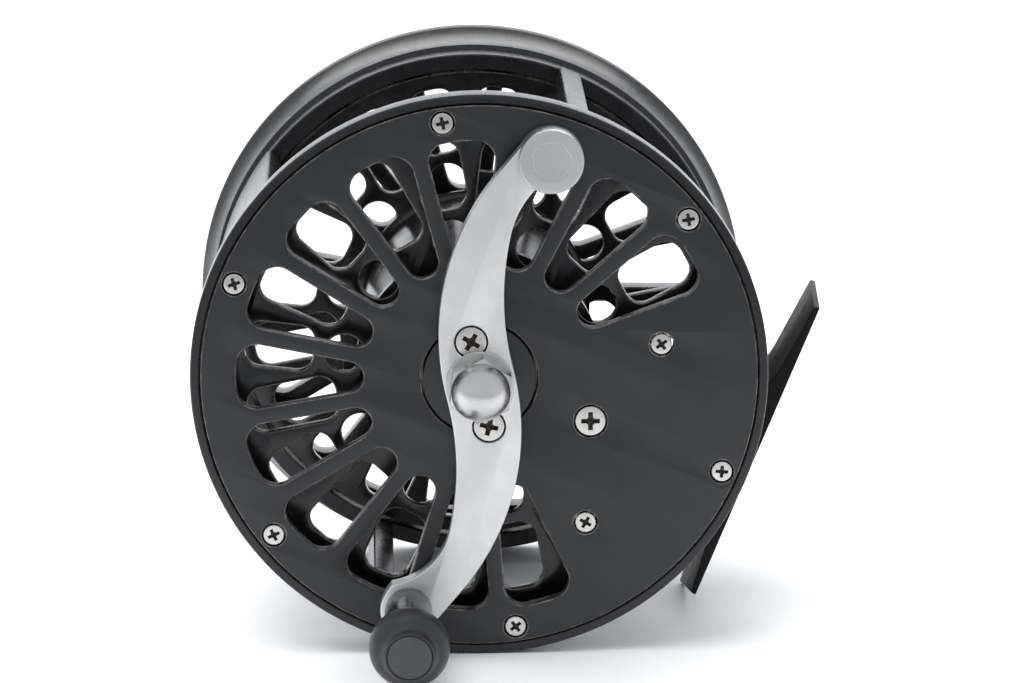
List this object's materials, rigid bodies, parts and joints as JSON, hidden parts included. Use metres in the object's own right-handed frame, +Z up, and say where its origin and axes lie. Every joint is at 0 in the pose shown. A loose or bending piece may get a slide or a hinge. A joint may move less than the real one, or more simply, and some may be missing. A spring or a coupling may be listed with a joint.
{
  "type": "fly reel",
  "caption": "Full-frame fly reel with a perforated face plate, ported large-arbor spool, S-shaped crank with counterweight and a tapered foot.",
  "frame": {"origin": "on the surface that the reel stands on, under the middle of its bounding box", "axes": "+Z up, -Y out of the face plate towards the crank handle, +X towards the foot's side"},
  "size_m": [0.114, 0.1043, 0.102],
  "materials": {
    "black_anodised": "satin black anodised",
    "gloss_black": "gloss black anodised",
    "satin_silver": "bead-blasted, clear anodised",
    "polished_steel": "polished",
    "resin_black": "matte",
    "bronze": "machined",
    "carbon_composite": "woven, dry",
    "spring_steel": "ground",
    "stainless_steel": "turned"
  },
  "bodies": {
    "body": {"frame": "black_anodised", "reel_foot": "gloss_black", "face_plate_screws": "stainless_steel", "spring_post_screws": "stainless_steel", "pawl_pivot_screw": "stainless_steel", "foot_screws": "stainless_steel", "face_plate": "black_anodised", "spring_posts": "stainless_steel", "pawl_post": "stainless_steel", "click_spring": "spring_steel", "spindle": "stainless_steel", "spindle_circlip": "stainless_steel", "front_bearing_inner_race": "stainless_steel", "front_bearing_balls": "stainless_steel", "rear_bearing_inner_race": "stainless_steel", "rear_bearing_balls": "stainless_steel", "drag_friction_disc": "carbon_composite", "drag_pressure_plate": "satin_silver", "drag_guide_pins": "stainless_steel", "drag_spring_washers": "spring_steel", "drag_knob_screw": "stainless_steel", "detent_ball": "stainless_steel", "detent_spring": "spring_steel"},
    "spool": {"spool": "black_anodised", "click_gear": "spring_steel", "drive_disc": "black_anodised", "crank_spacer": "black_anodised", "crank_arm": "satin_silver", "crank_screws": "stainless_steel", "counterweight": "satin_silver", "counterweight_screw": "stainless_steel", "crank_stud": "stainless_steel", "crank_cap_nut": "polished_steel", "handle_pin": "stainless_steel", "handle_screw": "stainless_steel", "front_bearing_outer_race": "stainless_steel", "rear_bearing_outer_race": "stainless_steel", "drag_rotor": "stainless_steel", "drag_rotor_screws": "stainless_steel"},
    "handle": {"handle_sleeve": "gloss_black", "handle_knob": "resin_black", "handle_knob_cap": "resin_black", "handle_bushes": "bronze"},
    "pawl": {"click_pawl": "spring_steel"},
    "drag_knob": {"drag_knob": "black_anodised"}
  },
  "joints": [
    {"name": "spool_spin", "type": "hinge", "parent": "body", "child": "spool", "pos_m": [-0.00598, -0.0218, 0.051], "axis": [0, -1, 0], "continuous": true},
    {"name": "handle_spin", "type": "hinge", "parent": "spool", "child": "handle", "pos_m": [-0.01877, -0.0368, 0.00953], "axis": [0, -1, 0], "continuous": true},
    {"name": "pawl_rock", "type": "hinge", "parent": "body", "child": "pawl", "pos_m": [0.01362, -0.0163, 0.04304], "axis": [0, -1, 0], "range_deg": [-12, 12], "stiffness_Nm_per_rad": 0.002},
    {"name": "drag_knob_turn", "type": "hinge", "parent": "body", "child": "drag_knob", "pos_m": [-0.00598, 0.0482, 0.051], "axis": [0, 1, 0], "range_deg": [-150, 150]}
  ]
}
